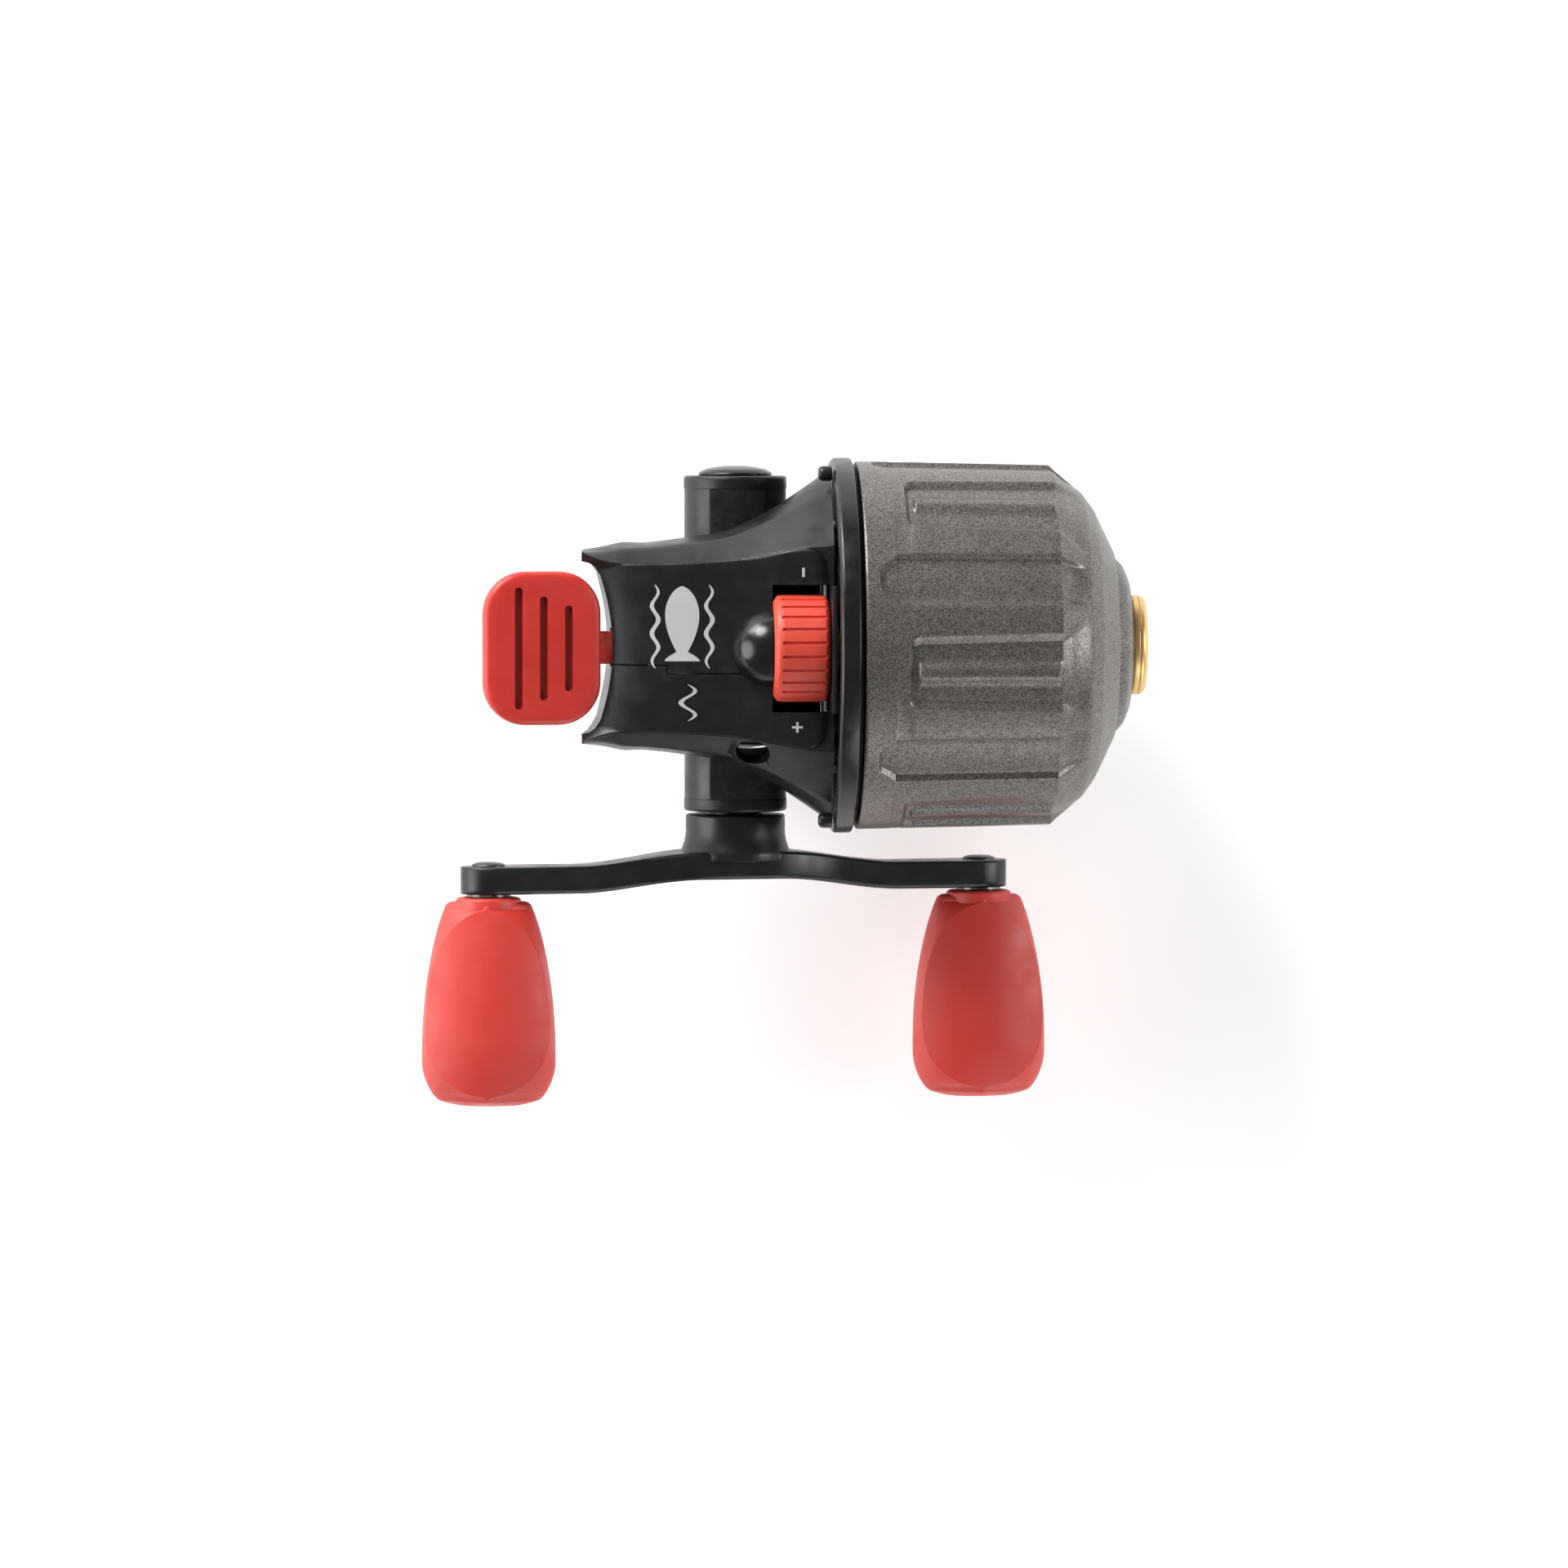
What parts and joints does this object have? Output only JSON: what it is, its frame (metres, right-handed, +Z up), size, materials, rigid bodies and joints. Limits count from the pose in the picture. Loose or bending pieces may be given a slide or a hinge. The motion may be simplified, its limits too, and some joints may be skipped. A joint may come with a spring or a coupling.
{
  "type": "spincast fishing reel",
  "caption": "Closed-face spincast fishing reel with a thumb button, top drag wheel, double handle with paddle knobs and a pull-off front cover.",
  "frame": {"origin": "centre of the underside of the reel foot", "axes": "+X towards the line exit at the nose, +Y to the reel's left side, away from the handle, +Z up from the rod"},
  "size_m": [0.1253, 0.1116, 0.0723],
  "materials": {
    "body_plastic": "satin black",
    "deck_metal": "satin black",
    "foot_metal": "satin black",
    "cover_paint": "gunmetal sparkle",
    "gold_ring": "polished gold",
    "handle_paint": "satin black",
    "red_rubber": "soft touch",
    "red_plastic": "satin red",
    "steel": "turned",
    "dark_steel": "blackened",
    "bronze": "sintered bronze",
    "die_cast": "cast zinc alloy",
    "spool_plastic": "moulded",
    "line": "clear green monofilament",
    "fibre": "pressed fibre"
  },
  "bodies": {
    "frame": {"foot": "foot_metal", "foot_screws": "steel", "left_shell": "body_plastic", "right_shell": "body_plastic", "shell_screws": "dark_steel", "deck_plate": "deck_metal", "deck_screws": "steel", "crank_bushing_left": "bronze", "crank_bushing_right": "bronze", "end_cap": "body_plastic", "centre_bushing": "bronze", "rear_guide": "bronze", "button_pin": "steel", "pawl_pin": "steel", "pawl_spring": "steel", "hook_keeper": "steel", "spool_washer": "fibre", "spool_clip": "steel", "drag_shoe": "fibre", "drag_spring": "steel"},
    "crank": {"crankshaft": "steel", "crank_clip": "steel", "drive_gear": "die_cast", "ratchet": "steel", "handle_arm": "handle_paint", "handle_screw": "dark_steel", "knob_posts": "dark_steel", "knob_washers": "dark_steel"},
    "rear_knob": {"knob_rear": "red_rubber"},
    "front_knob": {"knob_front": "red_rubber"},
    "pinion": {"pinion": "bronze", "return_spring": "steel"},
    "plunger": {"push_cap": "spool_plastic"},
    "rotor": {"centre_shaft": "steel", "spinner_head": "die_cast", "spinner_nut": "bronze"},
    "pin": {"pickup_pin": "steel"},
    "button": {"thumb_button": "red_plastic"},
    "drag_dial": {"drag_wheel": "red_plastic", "drag_screw": "steel"},
    "drag_nut": {"drag_nut": "bronze"},
    "spool": {"spool": "spool_plastic", "line_pack": "line"},
    "pawl": {"pawl": "steel"},
    "cover": {"front_cover": "cover_paint", "line_guide_ring": "gold_ring"}
  },
  "joints": [
    {"name": "crank_spin", "type": "hinge", "parent": "frame", "child": "crank", "pos_m": [-0.0095, 0, 0.0325], "axis": [0, 1, 0], "continuous": true},
    {"name": "rear_knob_spin", "type": "hinge", "parent": "crank", "child": "rear_knob", "pos_m": [-0.0524, -0.06, 0.04084], "axis": [0, 1, 0], "continuous": true},
    {"name": "front_knob_spin", "type": "hinge", "parent": "crank", "child": "front_knob", "pos_m": [0.0334, -0.06, 0.02416], "axis": [0, 1, 0], "continuous": true},
    {"name": "pinion_spin", "type": "hinge", "parent": "frame", "child": "pinion", "pos_m": [0, 0, 0.04], "axis": [1, 0, 0], "continuous": true},
    {"name": "thumb_press", "type": "hinge", "parent": "frame", "child": "button", "pos_m": [-0.024, 0, 0.049], "axis": [0, -1, 0], "range_deg": [0, 18], "stiffness_Nm_per_rad": 0.05, "springref_deg": -20.05},
    {"name": "shaft_slide", "type": "slide", "parent": "frame", "child": "plunger", "axis": [1, 0, 0], "range_m": [0, 0.00283], "deforming": ["return_spring"]},
    {"name": "rotor_spin", "type": "hinge", "parent": "plunger", "child": "rotor", "pos_m": [0, 0, 0.04], "axis": [1, 0, 0], "continuous": true},
    {"name": "pin_slide", "type": "slide", "parent": "rotor", "child": "pin", "axis": [0, 0, 1], "range_m": [-0.0021, 0]},
    {"name": "drag_turn", "type": "hinge", "parent": "frame", "child": "drag_dial", "pos_m": [0, 0, 0.0555], "axis": [1, 0, 0], "range_deg": [0, 290]},
    {"name": "drag_press", "type": "slide", "parent": "frame", "child": "drag_nut", "axis": [1, 0, 0], "range_m": [0, 0.00081], "deforming": ["drag_spring"]},
    {"name": "spool_spin", "type": "hinge", "parent": "frame", "child": "spool", "pos_m": [0.02, 0, 0.04], "axis": [1, 0, 0], "continuous": true},
    {"name": "pawl_lift", "type": "hinge", "parent": "frame", "child": "pawl", "pos_m": [-0.0195, -0.0092, 0.027], "axis": [0, -1, 0], "range_deg": [0, 14], "stiffness_Nm_per_rad": 0.0005, "springref_deg": -5.73},
    {"name": "cover_off", "type": "slide", "parent": "frame", "child": "cover", "axis": [1, 0, 0], "range_m": [0, 0.05]}
  ],
  "couplings": [
    {"joint": "pinion_spin", "follows": "crank_spin", "ratio": 3.9},
    {"joint": "rotor_spin", "follows": "crank_spin", "ratio": 3.9},
    {"joint": "thumb_press", "follows": "shaft_slide", "rad_per_m": 111.01},
    {"joint": "pin_slide", "follows": "shaft_slide", "ratio": -0.7333},
    {"joint": "drag_turn", "follows": "drag_press", "rad_per_m": 6248.7}
  ]
}
